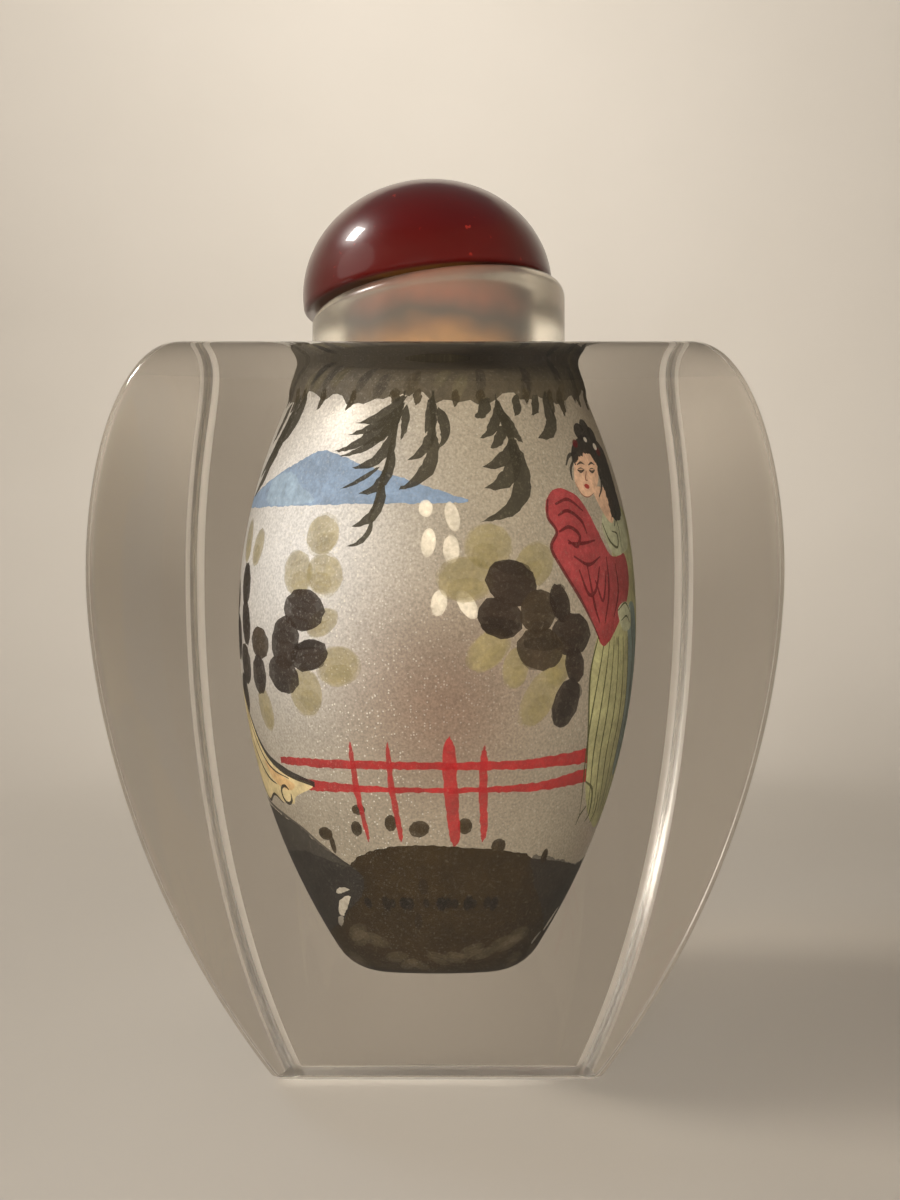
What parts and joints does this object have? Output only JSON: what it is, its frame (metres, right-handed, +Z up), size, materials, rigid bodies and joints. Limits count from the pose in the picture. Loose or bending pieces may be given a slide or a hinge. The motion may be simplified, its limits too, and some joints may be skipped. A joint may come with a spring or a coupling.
{
  "type": "snuff bottle",
  "caption": "Square-plan, barrel-sided clear glass snuff bottle, hollow inside, with a ground round neck and a lift-off domed red stopper.",
  "frame": {"origin": "middle of the flat base, on the surface that the bottle stands on", "axes": "+Z up along the bottle's height, -Y out of the painted front face, +X to the right of the front"},
  "size_m": [0.042, 0.042, 0.0673],
  "materials": {
    "glass": "clear crystal glass, polished faces, ground neck",
    "red_glass": "deep red glass cabochon, polished, nearly opaque",
    "cork": "brown cork, fine pores",
    "paint": "ink and pearly water-based paint on the inner wall, seen through the glass"
  },
  "bodies": {
    "root": {"bottle": "glass", "stopper_dome": "red_glass", "stopper_plug": "cork"}
  },
  "joints": []
}
